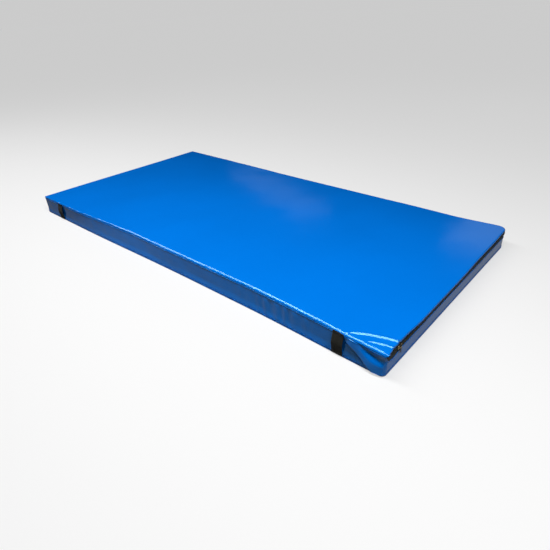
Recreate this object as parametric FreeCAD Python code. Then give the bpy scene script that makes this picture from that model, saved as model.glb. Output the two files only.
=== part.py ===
import FreeCAD, Part
import math
import os
from FreeCAD import Vector

# One-piece gymnastic mat: a foam block in a sewn cover that zips off at one end.
# Millimetres. X runs along the mat, Y across it, Z up. The origin is the middle of the underside, on the
# floor. The zipped end faces +X. Every outline is drawn in from the finished cover by an "inset".

# Driving dimensions of the mat
LENGTH = 2000.0
WIDTH = 1000.0
HEIGHT = 84.0
SHEET = 0.8                 # thickness of the coated cover sheet
SEWN_CORNER_R = 3.0         # the two tight sewn corners at the closed end
SLACK_CORNER_R = 16.0       # corner where the zipper starts
WRAPPED_CORNER_R = 38.0     # corner that the zipper runs round
LEAST_BEND_R = 0.5
PLAY = 0.1                  # air between pieces that only lie against each other

# Foam block
FOAM_THICKNESS = 80.0
FOAM_INSET = 3.0
FOAM_END_X = 993.0

# Laps: the top and bottom panels fold over the side strips and are topstitched there
LAP = 9.0
HEM = 2.5                   # narrow double fold of the top panel above the zipper
STRIP_INSET = SHEET

# Zipped stretch of the edge: the whole end wall and a short run of the back wall
ZIP_START_Y = -482.0
ZIP_END_X = 900.0
ZIP_CENTRE_Z = 67.0
END_STRIP_TOP_Z = 52.0
TAPE_INSET = 2.0 * SHEET
TAPE = 0.6
TAPE_LOW_Z = 46.0
COIL_GAP = 1.6
COIL_WIDTH = 3.4
COIL_HEIGHT = 2.6
STOP_LENGTH = 4.0
STOP_Y = -474.0             # where the closed-end stop ends and the coils begin

# Slider, at rest a little short of the closed-end stop
SLIDER_Y = -425.0
SLIDER_LENGTH = 20.0
SHOULDER_HALF = 7.0
TAIL_HALF = 6.2
FLANGE = 1.4
PLATE = 1.4
PLATE_CLEARANCE = 0.4
TAPE_CLEARANCE = 0.5
POST_LENGTH = 5.0
POST_THICKNESS = 1.0
SHOULDER_CORNER_R = 3.0
TAIL_CORNER_R = 1.5
PLATE_EDGE_R = 0.6
CROWN_WIDTH = 2.4
CROWN_LEG = 2.0
CROWN_LEG_Y = 4.5           # each leg's middle from the slider's middle
CROWN_RISE = 2.6
CROWN_BAR = 1.4
CROWN_BEND_R = 1.8

# Pull tab, hanging from the crown's leg
TAB_THICKNESS = 1.4
TAB_GAP = 0.6
TAB_EYE_R = 4.6
TAB_HOLE_R = 2.2
TAB_TIP_R = 4.0
TAB_TIP_DROP = 20.0
TAB_EDGE = 0.3

# Webbing handles, one pair on each long side
HANDLE_X = 840.0
WEBBING_WIDTH = 40.0
WEBBING = 1.8
HANDLE_TOP_Z = 80.5
HANDLE_BOTTOM_Z = 3.0
HANDLE_GAP = 8.0            # finger room between webbing and wall
TACK_LENGTH = 8.5           # sewn flat at each end
RISE_LENGTH = 18.0          # from flat to full gap
RISE_STEPS = 6

# Sewing thread
THREAD = 0.3                # how proud a stitch line stands
THREAD_WIDTH = 0.6
TOP_STITCH_Z = 77.0
BOTTOM_STITCH_Z = 5.0
HEM_STITCH_Z = 82.0
TAPE_STITCH_Z = (47.5, 50.0)
CORNER_STITCH = 6.0         # from the corner to its line of stitches
TACK_MARGIN = 3.0           # webbing edge to tack line
TACK_FRAME = 6.0            # height of each stitched frame
TOP_TACK_Z = HANDLE_TOP_Z - TACK_LENGTH + 1.5
BOTTOM_TACK_Z = HANDLE_BOTTOM_Z + 1.0

MARGIN = 10.0               # how far a cutting box runs past the mat
NEAR = 0.01                 # an edge this close to a plane lies in it
HALF_L = LENGTH / 2.0
HALF_W = WIDTH / 2.0
PANEL_UNDER_Z = HEIGHT - SHEET
TAPE_FACE_X = HALF_L - TAPE_INSET
COIL_FACE_X = TAPE_FACE_X + COIL_HEIGHT


def plan_face(inset):
    """The mat's plan outline drawn in by inset, each corner with its own radius."""
    hx, hy = HALF_L - inset, HALF_W - inset
    corners = (
        (-1, -1, SEWN_CORNER_R),
        (1, -1, SLACK_CORNER_R),
        (1, 1, WRAPPED_CORNER_R),
        (-1, 1, SEWN_CORNER_R),
    )
    arcs = []
    for turn, (sx, sy, radius) in enumerate(corners):
        r = max(radius - inset, LEAST_BEND_R)
        centre = Vector(sx * (hx - r), sy * (hy - r), 0)
        angles = [math.radians(180 + 90 * turn + a) for a in (0, 45, 90)]
        points = [centre + Vector(r * math.cos(a), r * math.sin(a), 0) for a in angles]
        arcs.append(points)
    edges = []
    for i, points in enumerate(arcs):
        edges.append(Part.Arc(*points).toShape())
        edges.append(Part.LineSegment(points[2], arcs[(i + 1) % 4][0]).toShape())
    return Part.Face(Part.Wire(edges))


def slab(inset, z0, z1):
    face = plan_face(inset)
    face.translate(Vector(0, 0, z0))
    return face.extrude(Vector(0, 0, z1 - z0))


def ring(outer, inner, z0, z1):
    """An upright band that follows the plan outline, between two insets."""
    return slab(outer, z0, z1).cut(slab(inner, z0, z1))


def box(x0, x1, y0, y1, z0=-MARGIN, z1=HEIGHT + MARGIN):
    return Part.makeBox(x1 - x0, y1 - y0, z1 - z0, Vector(x0, y0, z0))


def zip_zone(start_y=ZIP_START_Y, end_x=ZIP_END_X):
    """The zipped stretch: the end wall from start_y, round the corner, back to end_x."""
    corner = WRAPPED_CORNER_R + MARGIN
    end_wall = box(HALF_L - corner, HALF_L + MARGIN, start_y, HALF_W + MARGIN)
    back_wall = box(end_x, HALF_L + MARGIN, HALF_W - corner, HALF_W + MARGIN)
    return end_wall.fuse(back_wall)


def left_zone():
    inner = HALF_W - SEWN_CORNER_R
    return box(-HALF_L - MARGIN, -HALF_L + SEWN_CORNER_R, -inner, inner)


def front_zone():
    return box(-HALF_L - MARGIN, HALF_L + MARGIN, -HALF_W - MARGIN, ZIP_START_Y).cut(left_zone())


def back_zone():
    return box(-HALF_L - MARGIN, ZIP_END_X, -ZIP_START_Y, HALF_W + MARGIN).cut(left_zone())


def foam_core():
    bottom = SHEET + PLAY
    block = slab(FOAM_INSET, bottom, bottom + FOAM_THICKNESS)
    return block.common(box(-HALF_L, FOAM_END_X, -HALF_W, HALF_W))


def top_panel():
    sheet = slab(0, PANEL_UNDER_Z, HEIGHT)
    lap = ring(0, SHEET, HEIGHT - LAP, PANEL_UNDER_Z).cut(zip_zone())
    hem = ring(0, 2.0 * SHEET, PANEL_UNDER_Z - HEM + SHEET, PANEL_UNDER_Z).common(zip_zone())
    return sheet.fuse([lap, hem]).removeSplitter()


def bottom_panel():
    sheet = slab(0, 0, SHEET)
    return sheet.fuse(ring(0, SHEET, SHEET, LAP)).removeSplitter()


def side_strip(zone, top_z=PANEL_UNDER_Z):
    return ring(STRIP_INSET, STRIP_INSET + SHEET, SHEET, top_z).common(zone)


def zipper_tape(z0, z1):
    return ring(TAPE_INSET, TAPE_INSET + TAPE, z0, z1).common(zip_zone())


def zipper_coil(side):
    """One row of the coil as a plain bead along its tape's edge; side is +1 above, -1 below the gap."""
    near, far = COIL_GAP / 2.0, COIL_GAP / 2.0 + COIL_WIDTH
    z0, z1 = sorted((ZIP_CENTRE_Z + side * near, ZIP_CENTRE_Z + side * far))
    bead = ring(TAPE_INSET - COIL_HEIGHT, TAPE_INSET, z0, z1)
    return bead.common(zip_zone(STOP_Y, ZIP_END_X + STOP_LENGTH))


def chain_height(zone):
    reach = COIL_GAP / 2.0 + COIL_WIDTH
    return ring(
        TAPE_INSET - COIL_HEIGHT, TAPE_INSET, ZIP_CENTRE_Z - reach, ZIP_CENTRE_Z + reach
    ).common(zone)


def zipper_closed_stop():
    return chain_height(box(HALF_L - MARGIN, HALF_L + MARGIN, STOP_Y - STOP_LENGTH, STOP_Y))


def zipper_open_stop():
    return chain_height(
        box(ZIP_END_X, ZIP_END_X + STOP_LENGTH, HALF_W - MARGIN, HALF_W + MARGIN)
    )


def slider_outline(trim, overrun=0.0):
    """Half-widths taper from the shoulder, which leads as the zipper closes, to the tail."""
    front, back = -SLIDER_LENGTH / 2.0 - overrun, SLIDER_LENGTH / 2.0 + overrun
    shoulder, tail = SHOULDER_HALF - trim, TAIL_HALF - trim
    points = [(front, -shoulder), (back, -tail), (back, tail), (front, shoulder)]
    corners = [Vector(0, SLIDER_Y + y, ZIP_CENTRE_Z + z) for y, z in points]
    return Part.Face(Part.makePolygon(corners + corners[:1]))


def edges_at(solid, axis, place, across):
    """The edges that lie at one place on one axis and have no length along the axes in across."""
    found = []
    for edge in solid.Edges:
        size = edge.BoundBox
        start = {"x": size.XMin, "y": size.YMin}[axis]
        lengths = {"x": size.XLength, "y": size.YLength, "z": size.ZLength}
        if abs(start - place) < NEAR and all(lengths[a] < NEAR for a in across):
            found.append(edge)
    return found


def across_wall(face, x0, x1):
    face = face.copy()
    face.translate(Vector(x0, 0, 0))
    return face.extrude(Vector(x1 - x0, 0, 0))


OUTER_PLATE_X = COIL_FACE_X + PLATE_CLEARANCE
PLATE_TOP_X = OUTER_PLATE_X + PLATE
CROWN_TOP_X = PLATE_TOP_X + CROWN_RISE + CROWN_BAR
TAB_X = PLATE_TOP_X + TAB_GAP
PIVOT_Y = SLIDER_Y + CROWN_LEG_Y


def slider_crown():
    """The arch over the outer plate: two legs and a bar, bent round at its corners."""
    reach = CROWN_LEG_Y + CROWN_LEG / 2.0
    width = (ZIP_CENTRE_Z - CROWN_WIDTH / 2.0, ZIP_CENTRE_Z + CROWN_WIDTH / 2.0)
    arch = box(PLATE_TOP_X, CROWN_TOP_X, SLIDER_Y - reach, SLIDER_Y + reach, *width)
    arch = arch.makeFillet(CROWN_BEND_R, edges_at(arch, "x", CROWN_TOP_X, "xy"))
    room = CROWN_LEG_Y - CROWN_LEG / 2.0
    under = box(
        PLATE_TOP_X, PLATE_TOP_X + CROWN_RISE, SLIDER_Y - room, SLIDER_Y + room, *width
    )
    return arch.cut(under)


def slider_body():
    inner_x = TAPE_FACE_X - TAPE - TAPE_CLEARANCE
    solid = across_wall(slider_outline(0), inner_x - PLATE, PLATE_TOP_X)
    front, back = SLIDER_Y - SLIDER_LENGTH / 2.0, SLIDER_Y + SLIDER_LENGTH / 2.0
    solid = solid.makeFillet(SHOULDER_CORNER_R, edges_at(solid, "y", front, "yz"))
    solid = solid.makeFillet(TAIL_CORNER_R, edges_at(solid, "y", back, "yz"))
    for face_x in (inner_x - PLATE, PLATE_TOP_X):
        solid = solid.makeFillet(PLATE_EDGE_R, edges_at(solid, "x", face_x, "x"))
    chain_room = across_wall(slider_outline(FLANGE, SHEET), inner_x, OUTER_PLATE_X)
    tape_slot = box(
        inner_x, TAPE_FACE_X + TAPE_CLEARANCE,
        SLIDER_Y - SLIDER_LENGTH, SLIDER_Y + SLIDER_LENGTH,
        ZIP_CENTRE_Z - 2 * SHOULDER_HALF, ZIP_CENTRE_Z + 2 * SHOULDER_HALF,
    )
    solid = solid.cut(chain_room).cut(tape_slot)
    half = POST_THICKNESS / 2.0
    post = box(
        inner_x - PLATE / 2.0, PLATE_TOP_X - PLATE / 2.0, front + PLATE_EDGE_R, front + POST_LENGTH,
        ZIP_CENTRE_Z - half, ZIP_CENTRE_Z + half,
    )
    return solid.fuse([post, slider_crown()]).removeSplitter()


def pull_tab():
    """A flat tab with a round eye about the crown's leg, tapering to a rounded tip below it."""
    def disc(radius, drop):
        centre = Vector(TAB_X, PIVOT_Y, ZIP_CENTRE_Z - drop)
        return Part.makeCylinder(radius, TAB_THICKNESS, centre, Vector(1, 0, 0))

    slope = (TAB_EYE_R - TAB_TIP_R) / TAB_TIP_DROP
    rise = math.sqrt(1.0 - slope * slope)
    ends = ((TAB_EYE_R, 0.0), (TAB_TIP_R, TAB_TIP_DROP))
    tangents = [(r * rise, ZIP_CENTRE_Z - drop - r * slope) for r, drop in ends]
    sides = [Vector(TAB_X, PIVOT_Y - out, z) for out, z in tangents]
    sides += [Vector(TAB_X, PIVOT_Y + out, z) for out, z in reversed(tangents)]
    web = Part.Face(Part.makePolygon(sides + sides[:1])).extrude(Vector(TAB_THICKNESS, 0, 0))
    blank = web.fuse([disc(TAB_EYE_R, 0), disc(TAB_TIP_R, TAB_TIP_DROP)]).removeSplitter()
    tab = blank.cut(disc(TAB_HOLE_R, 0))
    rims = [edge for x in (TAB_X, TAB_X + TAB_THICKNESS) for edge in edges_at(tab, "x", x, "x")]
    return tab.makeChamfer(TAB_EDGE, rims)


def webbing_edge(offset):
    """The loop's profile at this offset from the wall: flat ends, and a smooth rise to the full gap."""
    def rise(foot, away):
        shares = [i / RISE_STEPS for i in range(RISE_STEPS + 1)]
        gaps = [HANDLE_GAP * (1.0 - math.cos(math.pi * share)) / 2.0 for share in shares]
        return [
            Vector(0, offset + gap, foot + away * RISE_LENGTH * share)
            for share, gap in zip(shares, gaps)
        ]

    ends = [Vector(0, offset, HANDLE_TOP_Z), Vector(0, offset, HANDLE_BOTTOM_Z)]
    upper = rise(HANDLE_TOP_Z - TACK_LENGTH, -1)
    lower = rise(HANDLE_BOTTOM_Z + TACK_LENGTH, 1)
    return ends[:1] + upper + lower[::-1] + ends[1:]


def handle(x_mid, side):
    """A vertical loop of webbing on the wall that faces side (+1 for +Y), sewn at top and bottom."""
    near, far = webbing_edge(0.0), webbing_edge(WEBBING)

    def along(points):
        rise = Part.BSplineCurve()
        rise.interpolate(points[1:-1])
        first = Part.LineSegment(points[0], points[1]).toShape()
        last = Part.LineSegment(points[-2], points[-1]).toShape()
        return [first, rise.toShape(), last]

    ends = [Part.LineSegment(near[k], far[k]).toShape() for k in (0, -1)]
    face = Part.Face(Part.Wire(Part.__sortEdges__(along(near) + along(far) + ends)))
    solid = face.extrude(Vector(WEBBING_WIDTH, 0, 0))
    solid.translate(Vector(x_mid - WEBBING_WIDTH / 2.0, HALF_W, 0))
    if side < 0:
        solid = solid.mirror(Vector(0, 0, 0), Vector(0, 1, 0))
    return solid


def handle_places():
    names = {(-1, -1): "front_left", (1, -1): "front_right", (-1, 1): "back_left", (1, 1): "back_right"}
    return [("handle_" + name, sx * HANDLE_X, sy) for (sx, sy), name in names.items()]


def stitch_frame(x_mid, side, z0, z1):
    """A rectangle of thread on the face of the webbing."""
    half = WEBBING_WIDTH / 2.0 - TACK_MARGIN
    y0, y1 = sorted((side * (HALF_W + WEBBING), side * (HALF_W + WEBBING + THREAD)))
    frame = box(x_mid - half, x_mid + half, y0, y1, z0, z1)
    return frame.cut(
        box(x_mid - half + THREAD_WIDTH, x_mid + half - THREAD_WIDTH,
            y0 - THREAD, y1 + THREAD, z0 + THREAD_WIDTH, z1 - THREAD_WIDTH)
    )


def handle_stitching():
    frames = []
    for _, x_mid, side in handle_places():
        for low in (BOTTOM_TACK_Z, TOP_TACK_Z):
            frames.append(stitch_frame(x_mid, side, low, low + TACK_FRAME))
    return Part.makeCompound(frames)


def handle_clearance():
    half = WEBBING_WIDTH / 2.0 + THREAD
    boxes = [
        box(x - half, x + half, min(0, side * (HALF_W + MARGIN)), max(0, side * (HALF_W + MARGIN)))
        for _, x, side in handle_places()
    ]
    return boxes[0].fuse(boxes[1:])


def lap_thread(z, zone_to_skip):
    line = ring(-THREAD, 0, z, z + THREAD_WIDTH).cut(handle_clearance())
    return line.cut(zone_to_skip) if zone_to_skip else line


def zipper_seam_thread():
    upper = ring(-THREAD, 0, HEM_STITCH_Z, HEM_STITCH_Z + THREAD_WIDTH).common(zip_zone())
    lower = [
        ring(STRIP_INSET - THREAD, STRIP_INSET, z, z + THREAD_WIDTH).common(zip_zone())
        for z in TAPE_STITCH_Z
    ]
    return Part.makeCompound([upper] + lower)


def corner_seam_thread():
    """Upright stitch lines where the side strips join."""
    z0, z1 = LAP + PLAY, HEIGHT - LAP - PLAY
    face_x = HALF_L - STRIP_INSET
    lines = []
    for side in (-1, 1):
        y = side * (HALF_W - CORNER_STITCH)
        lines.append(box(-face_x - THREAD, -face_x, y, y + THREAD_WIDTH, z0, z1))
    y = ZIP_START_Y - 2.0 * THREAD_WIDTH
    lines.append(box(face_x, face_x + THREAD, y, y + THREAD_WIDTH, z0, z1))
    x = ZIP_END_X - CORNER_STITCH
    face_y = HALF_W - STRIP_INSET
    lines.append(box(x, x + THREAD_WIDTH, face_y, face_y + THREAD, z0, z1))
    return Part.makeCompound(lines)


def parts():
    gap = COIL_GAP / 2.0
    made = {
        "foam_core": foam_core(),
        "top_panel": top_panel(),
        "bottom_panel": bottom_panel(),
        "front_side_strip": side_strip(front_zone()),
        "left_end_strip": side_strip(left_zone()),
        "back_side_strip": side_strip(back_zone()),
        "right_end_strip": side_strip(zip_zone(), END_STRIP_TOP_Z),
        "zipper_tape_upper": zipper_tape(ZIP_CENTRE_Z + gap, PANEL_UNDER_Z),
        "zipper_tape_lower": zipper_tape(TAPE_LOW_Z, ZIP_CENTRE_Z - gap),
        "zipper_coil_upper": zipper_coil(1),
        "zipper_coil_lower": zipper_coil(-1),
        "zipper_closed_stop": zipper_closed_stop(),
        "zipper_open_stop": zipper_open_stop(),
        "slider_body": slider_body(),
        "pull_tab": pull_tab(),
        "handle_stitching": handle_stitching(),
        "top_seam_thread": lap_thread(TOP_STITCH_Z, zip_zone()),
        "bottom_seam_thread": lap_thread(BOTTOM_STITCH_Z, None),
        "zipper_seam_thread": zipper_seam_thread(),
        "corner_seam_thread": corner_seam_thread(),
    }
    for name, x_mid, side in handle_places():
        made[name] = handle(x_mid, side)
    return made


def main():
    os.makedirs("parts", exist_ok=True)
    for name, shape in parts().items():
        if not shape.isValid():
            raise ValueError(name + " is not a valid solid")
        shape.exportStep(os.path.join("parts", name + ".step"))
        size = shape.BoundBox
        print(
            f"{name:22s} solids {len(shape.Solids)} volume {shape.Volume:14.1f} "
            f"x {size.XMin:.1f}..{size.XMax:.1f} y {size.YMin:.1f}..{size.YMax:.1f} "
            f"z {size.ZMin:.1f}..{size.ZMax:.1f}"
        )


main()
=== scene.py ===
"""A one-piece gym mat: foam in a sewn, glossy coated cover with a zipper round one end and webbing handles."""
import math

import bpy
import numpy as np
from mathutils import Matrix, Vector


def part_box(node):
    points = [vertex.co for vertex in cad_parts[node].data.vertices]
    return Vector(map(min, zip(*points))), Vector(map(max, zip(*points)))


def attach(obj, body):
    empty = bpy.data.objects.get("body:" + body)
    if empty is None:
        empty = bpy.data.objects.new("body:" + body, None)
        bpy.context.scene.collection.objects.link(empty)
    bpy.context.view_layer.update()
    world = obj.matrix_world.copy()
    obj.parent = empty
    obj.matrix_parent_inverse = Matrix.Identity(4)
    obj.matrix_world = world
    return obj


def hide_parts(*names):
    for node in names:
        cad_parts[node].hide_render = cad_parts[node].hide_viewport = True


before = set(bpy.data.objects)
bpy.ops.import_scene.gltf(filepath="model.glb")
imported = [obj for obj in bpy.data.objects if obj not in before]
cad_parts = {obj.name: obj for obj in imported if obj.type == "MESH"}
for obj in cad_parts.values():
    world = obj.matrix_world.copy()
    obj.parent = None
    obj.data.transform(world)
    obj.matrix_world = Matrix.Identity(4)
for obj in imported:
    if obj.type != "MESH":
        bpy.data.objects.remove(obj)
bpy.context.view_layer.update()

MM = 0.001

# ---------- dimensions, from the frame
top_low, top_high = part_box("top_panel")
tape_low, tape_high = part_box("zipper_tape_upper")
lower_tape_low, lower_tape_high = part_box("zipper_tape_lower")
coil_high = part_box("zipper_coil_upper")[1]
stop_low, stop_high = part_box("zipper_closed_stop")
open_stop_low, open_stop_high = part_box("zipper_open_stop")
slider_low, slider_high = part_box("slider_body")

HALF_L, HALF_W, HEIGHT = top_high
TOP_LAP_Z = top_low.z
BOTTOM_LAP_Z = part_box("bottom_panel")[1].z
END_STRIP_TOP_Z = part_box("right_end_strip")[1].z
ZIP_START_Y, ZIP_END_X = tape_low.y, tape_low.x
ZIP_CENTRE_Z = (tape_low.z + lower_tape_high.z) / 2
COIL_GAP = (tape_low.z - lower_tape_high.z) / 2
COIL_REACH = coil_high.z - ZIP_CENTRE_Z
TAPE_INSET = HALF_L - tape_high.x
COIL_HEIGHT = coil_high.x - tape_high.x
SLIDER_Y = (slider_low.y + slider_high.y) / 2
OPEN_STOP_LENGTH = open_stop_high.x - open_stop_low.x

SHEET = 0.8 * MM
TAPE = 0.6 * MM
SEWN_R, SLACK_R, WRAPPED_R = 3 * MM, 16 * MM, 38 * MM

# Plan corners in order round the mat: front left, front right, back right, back left
CORNERS = ((-1, -1, SEWN_R), (1, -1, SLACK_R), (1, 1, WRAPPED_R), (-1, 1, SEWN_R))
FRONT, END, BACK = range(3)     # the sides in the same order; the left end comes last
SIDE_NORMALS = np.array([(0, -1), (1, 0), (0, 1), (-1, 0)], float)
HANDLE_NODES = ("handle_front_left", "handle_front_right", "handle_back_left", "handle_back_right")
COARSE, FINE, CORNER_STEP = 9 * MM, 2 * MM, 0.5 * MM


def ramp(value, start, full):
    """0 up to the start, 1 from full on, and an S-curve between; it falls where full is the lower number."""
    t = np.clip((value - start) / (full - start), 0.0, 1.0)
    return t * t * (3 - 2 * t)


def bell(value, middle, width):
    return np.exp(-((value - middle) / width) ** 2)


def squared(wave, power):
    """A sine or cosine wave with flatter tops and steeper sides."""
    return np.sign(wave) * np.abs(wave) ** power


# ---------- the plan outline
def outline_runs():
    """Straight runs and corner arcs in turn, anticlockwise from the start of the front side."""
    centres = [np.array((sx * (HALF_L - r), sy * (HALF_W - r))) for sx, sy, r in CORNERS]
    runs = []
    for side in range(4):
        after = (side + 1) % 4
        normal = SIDE_NORMALS[side]
        first = centres[side] + CORNERS[side][2] * normal
        last = centres[after] + CORNERS[after][2] * normal
        along = np.array((-normal[1], normal[0]))
        runs.append({"length": np.linalg.norm(last - first), "first": first, "normal": normal, "along": along})
        radius = CORNERS[after][2]
        turn = math.atan2(normal[1], normal[0])
        runs.append({"length": radius * math.pi / 2, "centre": centres[after], "radius": radius, "turn": turn})
    return runs


RUNS = outline_runs()
STARTS = np.concatenate(([0], np.cumsum([run["length"] for run in RUNS])))
PERIMETER = STARTS[-1]


def place(distances):
    """Points on the outline at these distances round it, and the outward normals there."""
    wrapped = np.asarray(distances, float) % PERIMETER
    points, normals = np.zeros((len(wrapped), 2)), np.zeros((len(wrapped), 2))
    for run, start in zip(RUNS, STARTS):
        here = (wrapped >= start) & (wrapped < start + run["length"])
        gone = wrapped[here] - start
        if "radius" in run:
            angle = run["turn"] + gone / run["radius"]
            normals[here] = np.column_stack((np.cos(angle), np.sin(angle)))
            points[here] = run["centre"] + run["radius"] * normals[here]
        else:
            normals[here] = run["normal"]
            points[here] = run["first"] + gone[:, None] * run["along"]
    return points, normals


def distance_at(side, coordinate):
    """The distance round the outline of the point on a straight side with this x (front, back) or y."""
    run = RUNS[2 * side]
    point = coordinate * np.abs(run["along"])
    return STARTS[2 * side] + (point - run["first"]) @ run["along"]


FRONT_LEFT_ARC = -SEWN_R * math.pi / 2
BACK_LEFT_ARC = STARTS[5]
BACK_LEFT_ARC_END = STARTS[6]
ZIP_START = distance_at(END, ZIP_START_Y)
BAND_START = ZIP_START - 13.5 * MM      # the band shows from the very corner
WRAPPED_ARC = STARTS[3]
WRAPPED_ARC_END = STARTS[4]
ZIP_END = distance_at(BACK, ZIP_END_X)
DETAIL_X, DETAIL_Y = 0.84, -0.37        # the slack corner's creases lie beyond these


def spread(*stops):
    """Distances from the first stop to the last; each stop is (distance, spacing from there on)."""
    found = []
    for (start, spacing), (end, _) in zip(stops, stops[1:]):
        count = max(2, int(round((end - start) / spacing)) + 1)
        found.append(np.linspace(start, end, count)[:-1])
    return np.append(np.concatenate(found), stops[-1][0])


def sweep(distances, rows):
    """A surface along the outline; each row is (inset, z), plain numbers or one for each distance."""
    points, normals = place(distances)
    surface = []
    for inset, z in rows:
        inset, z = np.broadcast_to(inset, len(points)), np.broadcast_to(z, len(points))
        surface.append(np.column_stack((points - inset[:, None] * normals, z)))
    return np.array(surface)


# ---------- how the cover settles on its foam
# How far the long sides pull in at the top edge and at the floor: depth, then where along x the pull grows from
# nothing to full, and from nothing to full again from the other end
TOP_FRONT = (21.5 * MM, (-0.85, -0.20), (1.05, 0.50))
TOP_BACK = (18.5 * MM, (-0.80, 0.00), (1.06, 0.76))
FOOT_FRONT = (11.0 * MM, (-0.65, 0.15), (1.05, 0.45))
FOOT_BACK = (9.0 * MM, (-0.80, 0.00), (1.06, 0.76))
LIFT = (3.0 * MM, (-0.85, -0.20), (1.05, 0.50))     # the top edges rise as the sides pull in
LEFT_LIFT = 2.0 * MM        # and the left end's top edge stands a little higher
LEFT_LEAN_FRONT, LEFT_LEAN_BACK = 5.0 * MM, -6.0 * MM       # it leans out by the front, and in by the back
FOOT_SPREAD, SPREAD_TOP = 2.5 * MM, 30 * MM
CROWN = 3.0 * MM

# Each fold in the top: three points of its ridge's curve in x and y, its height and its width
TOP_FOLDS = (
    (((0.850, -0.500), (0.891, -0.454), (1.000, -0.425)), 4.9 * MM, 5.9 * MM),
    (((0.908, -0.491), (0.955, -0.467), (1.000, -0.459)), 3.6 * MM, 4.5 * MM),
)
FOLD_GROWN = 0.45           # the share of its length over which a fold grows
FOLD_TIP = 0.09             # its width at the tip, as a share of its full width
FOLD_STEEP, FOLD_GENTLE = 0.72, 1.25        # its two flanks, as shares of that width
FOLD_HOLLOW = 0.12          # how deep the top dips beside it, as a share of its height

# The diagonal crease down the front wall, in x and z: a face that stands out, and a groove below it
WALL_CREASE = ((0.858, 0.053), (0.895, 0.046), (0.968, -0.006))
CREASE_FACE, CREASE_HEIGHT, CREASE_FADE = 10 * MM, 5.2 * MM, 30 * MM
CREASE_GROOVE, GROOVE_WIDTH = 2.6 * MM, 2.6 * MM
# The valley under the seam there: its depth, where it starts, and the height of its bottom as it opens
VALLEY_DEPTH, VALLEY_X = 4.6 * MM, 0.885
VALLEY_TOP, VALLEY_HIGH, VALLEY_LOW, VALLEY_SIDE = 77.5 * MM, 76.5 * MM, 50 * MM, 20 * MM
# The bulge below it: how far out, and its middle and width along x and in height
BULGE, BULGE_X, BULGE_Z = 6.0 * MM, (0.957, 0.032), (0.026, 0.028)
# The slack corner is drawn to a point between these heights, and flares out along the end above the zipper
POINTED, POINT_LOW, POINT_HIGH = 8, 50 * MM, 72 * MM
TIP_FLARE, FLARE_LOW, FLARE_HIGH, FLARE_REACH = 6 * MM, 73 * MM, 80 * MM, 22 * MM
CURVE_STEPS = 60

# Waves in the cover. Each term: size in mm, rates along x and the other coordinate (radians a metre), phase, then
# how far it wavers and at what rate
SEAM_OUT = ((0.22, 148, 0, 0, 1.3, 23), (0.16, 311, 0, 2.0, 0, 0), (0.3, 37, 0, 0.7, 0, 0))
SEAM_UP = ((0.16, 171, 0, 0, 2.1, 31), (0.12, 93, 0, 1, 0, 0))
LEFT_SEAM_UP = ((0.34, 263, 0, 0, 2.6, 71),)
BY_HANDLE = ((1.4, 150, 26, 0, 0.8, 60),)
WALL_SLACK = ((0.5, 61, 40, 0, 1.7, 13),), ((1, 23, -31, 0, 0, 0),)
DRAPE = ((0.5, 11, 0, 1.1, 0, 0), (0.4, 19.7, 30, 0, 0, 0))
WIDE_SWELL = ((0.55, 9.1, 3.2, 0.4, 0, 0),), ((1, 5.3, -8.7, 1.9, 0, 0),)
SMALL_SWELL = ((0.25, 21, 4, 0, 0, 0),), ((1, -6, 17, 0.8, 0, 0),)
PUCKER_WAVE = ((1, 150, 0, 0, 2.2, 43),)
# Where the left part of the front seam is livelier: how much, then as for the pull of the sides
LEFT_OUT = (2.2, (-0.90, -0.80), (-0.22, -0.34))
LEFT_UP = (1.0, (-0.90, -0.80), (-0.22, -0.37))
PUCKERS = (5 * MM, (-0.90, -0.84), (-0.33, -0.48))


def along_side(x, shape):
    full, (left, full_left), (right, full_right) = shape
    return full * ramp(x, left, full_left) * ramp(x, right, full_right)


def waves(x, other, *products):
    """The product of sums of wavering waves."""
    total = 1.0
    for terms in products:
        total = total * sum(size * np.sin(rate * x + slant * other + phase + waver * np.sin(slow * x))
                            for size, rate, slant, phase, waver, slow in terms)
    return total


def bezier(points, t):
    a, b, c = (np.array(p) for p in points)
    t = t[:, None]
    return (1 - t) ** 2 * a + 2 * t * (1 - t) * b + t * t * c


def to_curve(points, curve):
    """Signed distance to a curve (positive on its left), the nearest point's share of it, and plain distance."""
    share = np.linspace(0, 1, CURVE_STEPS)
    line = bezier(curve, share)
    gap = points[:, None, :] - line[None, :, :]
    nearest = np.argmin((gap ** 2).sum(2), axis=1)
    ahead = np.gradient(line, axis=0)[nearest]
    ahead /= np.linalg.norm(ahead, axis=1)[:, None]
    near = points - line[nearest]
    return ahead[:, 0] * near[:, 1] - ahead[:, 1] * near[:, 0], share[nearest], np.linalg.norm(near, axis=1)


def top_folds(p):
    """Puckers in the top by the slack corner, which fade out at the zipper's edge."""
    rise = np.zeros(len(p))
    near = (p[:, 0] > DETAIL_X) & (p[:, 1] < DETAIL_Y - 10 * MM)
    for curve, height, width in TOP_FOLDS:
        side, share, gap = to_curve(p[near, :2], curve)
        grown = ramp(share, 0, FOLD_GROWN)
        reach = width * (FOLD_TIP + (1 - FOLD_TIP) * grown)
        ridge = bell(gap, 0, reach * np.where(side > 0, FOLD_STEEP, FOLD_GENTLE))
        hollow = FOLD_HOLLOW * bell(side, -2.1 * reach, 1.3 * reach) * (gap < 4 * reach)
        along = grown * ramp(p[near, 0], HALF_L + 3 * MM, HALF_L - 2 * MM)
        rise[near] += height * along * (ridge - hollow)
    return rise * ramp(p[:, 2], 60 * MM, 78 * MM)


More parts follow.
